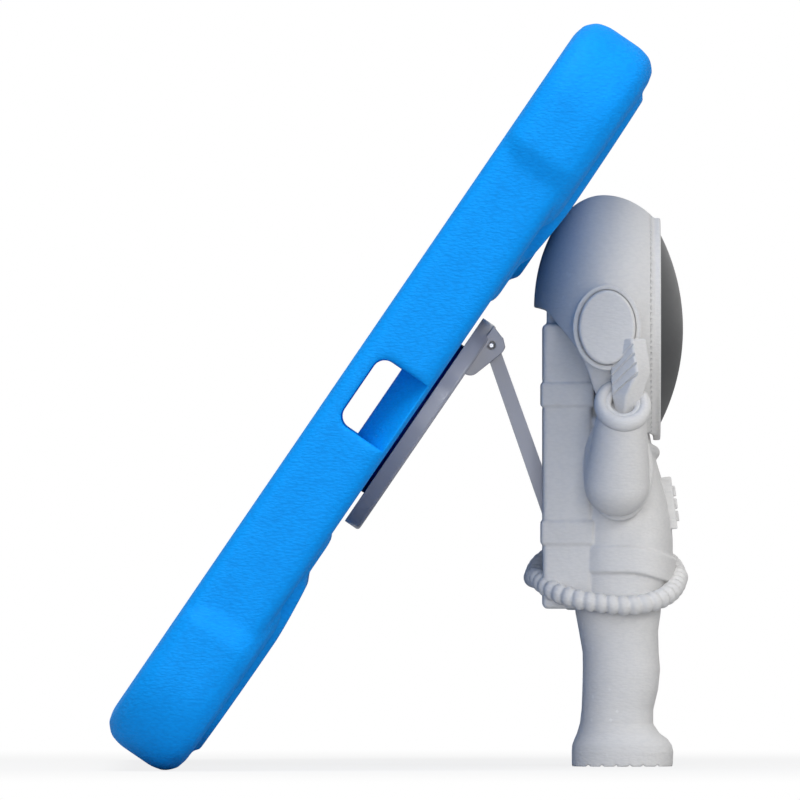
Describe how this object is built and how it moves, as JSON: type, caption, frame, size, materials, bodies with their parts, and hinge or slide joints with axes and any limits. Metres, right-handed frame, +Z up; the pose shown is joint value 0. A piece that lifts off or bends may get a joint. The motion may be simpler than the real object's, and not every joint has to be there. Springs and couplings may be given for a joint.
{
  "type": "foam tablet case",
  "caption": "Thick foam tablet case with corner bumpers, held up from behind by a standing spaceman figure on a swivelling, folding arm.",
  "frame": {"origin": "on the table under the middle of the standing case and figure", "axes": "+Z up, +Y along the case's long side, +X from the screen side towards the figure"},
  "size_m": [0.1422, 0.2886, 0.1825],
  "materials": {
    "blue_foam": "soft moulded closed-cell foam with a fine pebbled grain",
    "white_foam": "soft moulded closed-cell foam with a fine wrinkled grain",
    "grey_plastic": "satin moulded plastic",
    "navy_plastic": "satin moulded plastic",
    "visor_plastic": "dark satin plastic",
    "steel": "bright turned steel"
  },
  "bodies": {
    "case": {"foam_case": "blue_foam", "swivel_bush": "navy_plastic", "inner_plate": "navy_plastic", "plate_screw_1": "steel", "plate_screw_2": "steel", "plate_screw_3": "steel", "plate_screw_4": "steel"},
    "swivel": {"swivel_disc": "grey_plastic", "retaining_washer": "steel", "hub_screw": "steel", "hinge_pin": "steel"},
    "arm": {"stand_arm": "grey_plastic"},
    "figure": {"figure_body": "white_foam", "visor": "visor_plastic", "back_socket": "grey_plastic", "arm_pin": "steel", "socket_screw_1": "steel", "socket_screw_2": "steel", "socket_screw_3": "steel", "socket_screw_4": "steel"}
  },
  "joints": [
    {"name": "stand_swivel", "type": "hinge", "parent": "case", "child": "swivel", "pos_m": [-0.01369, 0, 0.0974], "axis": [0.8258, 0, -0.564], "continuous": true},
    {"name": "arm_fold", "type": "hinge", "parent": "swivel", "child": "arm", "pos_m": [0.02259, 0, 0.10398], "axis": [0, 1, 0], "range_deg": [0, 52.3]},
    {"name": "figure_tilt", "type": "hinge", "parent": "arm", "child": "figure", "pos_m": [0.0372, 0, 0.0626], "axis": [0, 1, 0], "range_deg": [-18.08, 0]}
  ],
  "couplings": [
    {"joint": "figure_tilt", "follows": "arm_fold", "ratio": -0.34378}
  ]
}
